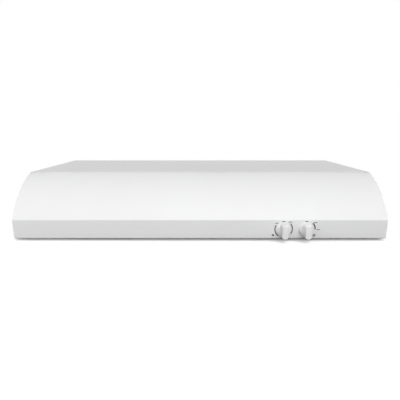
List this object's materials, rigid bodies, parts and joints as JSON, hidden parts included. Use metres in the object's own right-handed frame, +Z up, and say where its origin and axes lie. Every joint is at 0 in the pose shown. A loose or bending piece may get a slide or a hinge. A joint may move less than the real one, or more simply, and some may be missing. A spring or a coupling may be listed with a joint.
{
  "type": "under cabinet range hood",
  "caption": "White under cabinet range hood with a curved front, rotary fan and light knobs, lift-down grease filters, lamps and a rear-discharge blower.",
  "frame": {"origin": "centre of the four cabinet screw holes, on the top face", "axes": "+X to the right seen from the front, +Y from the front to the wall, +Z up"},
  "size_m": [0.9112, 0.5619, 0.1492],
  "materials": {
    "white_enamel": "gloss white baked enamel on bent steel sheet",
    "spring_steel": "plain spring steel",
    "white_knob_plastic": "moulded white plastic, satin gloss",
    "bright_steel": "bright drawn steel",
    "black_phenolic": "moulded black phenolic",
    "reflector_aluminium": "bright rolled aluminium sheet",
    "white_porcelain": "glazed lamp holder",
    "frosted_glass": "frosted lamp glass",
    "bulb_brass": "rolled thread brass cap",
    "lens_plastic": "clear ribbed lens",
    "filter_aluminium": "folded aluminium channel",
    "filter_foil": "layers of expanded aluminium foil",
    "galvanised_steel": "galvanised sheet with spangle",
    "lamination_steel": "stacked laminations, varnished",
    "enamelled_copper": "enamelled copper wire, laced",
    "cast_aluminium": "die cast end brackets",
    "sintered_bronze": "oil filled sintered bronze",
    "black_rubber": "moulded black rubber",
    "lead_insulation": "extruded wire insulation",
    "green_screw": "green earth screw",
    "zinc_screws": "zinc plated"
  },
  "bodies": {
    "shell": {"back_panel": "white_enamel", "blower_screws": "zinc_screws", "bracket_screws": "zinc_screws", "bulb_caps": "bulb_brass", "bulb_glasses": "frosted_glass", "collar_screws": "zinc_screws", "damper_collar": "galvanised_steel", "fan_switch": "black_phenolic", "filter_rail": "white_enamel", "front_panel": "white_enamel", "ground_screw": "green_screw", "lamp_housing_left": "reflector_aluminium", "lamp_housing_right": "reflector_aluminium", "lamp_leads": "lead_insulation", "lamp_panel": "white_enamel", "lamp_sockets": "white_porcelain", "light_switch": "black_phenolic", "motor_bolts": "zinc_screws", "motor_bracket": "galvanised_steel", "motor_bushes": "sintered_bronze", "motor_gland": "black_rubber", "motor_lead": "lead_insulation", "motor_lower_bell": "cast_aluminium", "motor_rubber_mounts": "black_rubber", "motor_stator": "lamination_steel", "motor_upper_bell": "cast_aluminium", "motor_windings": "enamelled_copper", "scroll_inlet_plate": "galvanised_steel", "scroll_standoffs": "galvanised_steel", "scroll_top_plate": "galvanised_steel", "scroll_wall": "galvanised_steel", "side_panel_left": "white_enamel", "side_panel_right": "white_enamel", "switch_cable": "lead_insulation", "switch_link": "lead_insulation", "switch_nuts": "bright_steel", "top_panel": "white_enamel", "transition_duct": "galvanised_steel", "wiring_cover": "galvanised_steel", "wiring_grommet": "black_rubber", "wiring_screws": "zinc_screws"},
    "fan_knob": {"fan_knob": "white_knob_plastic", "fan_knob_clip": "spring_steel", "fan_switch_shaft": "bright_steel"},
    "light_knob": {"light_knob": "white_knob_plastic", "light_knob_clip": "spring_steel", "light_switch_shaft": "bright_steel"},
    "blower_rotor": {"blower_wheel": "galvanised_steel", "motor_shaft": "bright_steel", "motor_rotor": "lamination_steel"},
    "damper": {"damper_flap": "galvanised_steel", "damper_pin": "bright_steel"},
    "filter_left": {"filter_frame_left": "filter_aluminium", "filter_mesh_left": "filter_foil"},
    "filter_right": {"filter_frame_right": "filter_aluminium", "filter_mesh_right": "filter_foil"},
    "latch_left": {"filter_latch_left": "filter_aluminium"},
    "latch_right": {"filter_latch_right": "filter_aluminium"},
    "lens_left": {"lamp_lens_left": "lens_plastic"},
    "lens_right": {"lamp_lens_right": "lens_plastic"}
  },
  "joints": [
    {"name": "fan_knob_turn", "type": "hinge", "parent": "shell", "child": "fan_knob", "pos_m": [0.2034, -0.3228, -0.126], "axis": [0, -0.9963, -0.0859], "range_deg": [-135, 135]},
    {"name": "light_knob_turn", "type": "hinge", "parent": "shell", "child": "light_knob", "pos_m": [0.2584, -0.3228, -0.126], "axis": [0, -0.9963, -0.0859], "range_deg": [-90, 0]},
    {"name": "blower_spin", "type": "hinge", "parent": "shell", "child": "blower_rotor", "pos_m": [-0.066, 0.01, -0.0148], "axis": [0, 0, 1], "continuous": true},
    {"name": "damper_swing", "type": "hinge", "parent": "shell", "child": "damper", "pos_m": [0, 0.186, -0.0155], "axis": [1, 0, 0], "range_deg": [0, 75]},
    {"name": "filter_left_swing", "type": "hinge", "parent": "shell", "child": "filter_left", "pos_m": [-0.2205, 0.159, -0.1367], "axis": [1, 0, 0], "range_deg": [0, 75]},
    {"name": "filter_right_swing", "type": "hinge", "parent": "shell", "child": "filter_right", "pos_m": [0.2205, 0.159, -0.1367], "axis": [1, 0, 0], "range_deg": [0, 75]},
    {"name": "latch_left_slide", "type": "slide", "parent": "filter_left", "child": "latch_left", "axis": [0, 1, 0], "range_m": [0, 0.006], "stiffness_N_per_m": 200},
    {"name": "latch_right_slide", "type": "slide", "parent": "filter_right", "child": "latch_right", "axis": [0, 1, 0], "range_m": [0, 0.006], "stiffness_N_per_m": 200},
    {"name": "lens_left_swing", "type": "hinge", "parent": "shell", "child": "lens_left", "pos_m": [-0.228, -0.2328, -0.1442], "axis": [1, 0, 0], "range_deg": [0, 85]},
    {"name": "lens_right_swing", "type": "hinge", "parent": "shell", "child": "lens_right", "pos_m": [0.228, -0.2328, -0.1442], "axis": [1, 0, 0], "range_deg": [0, 85]}
  ]
}
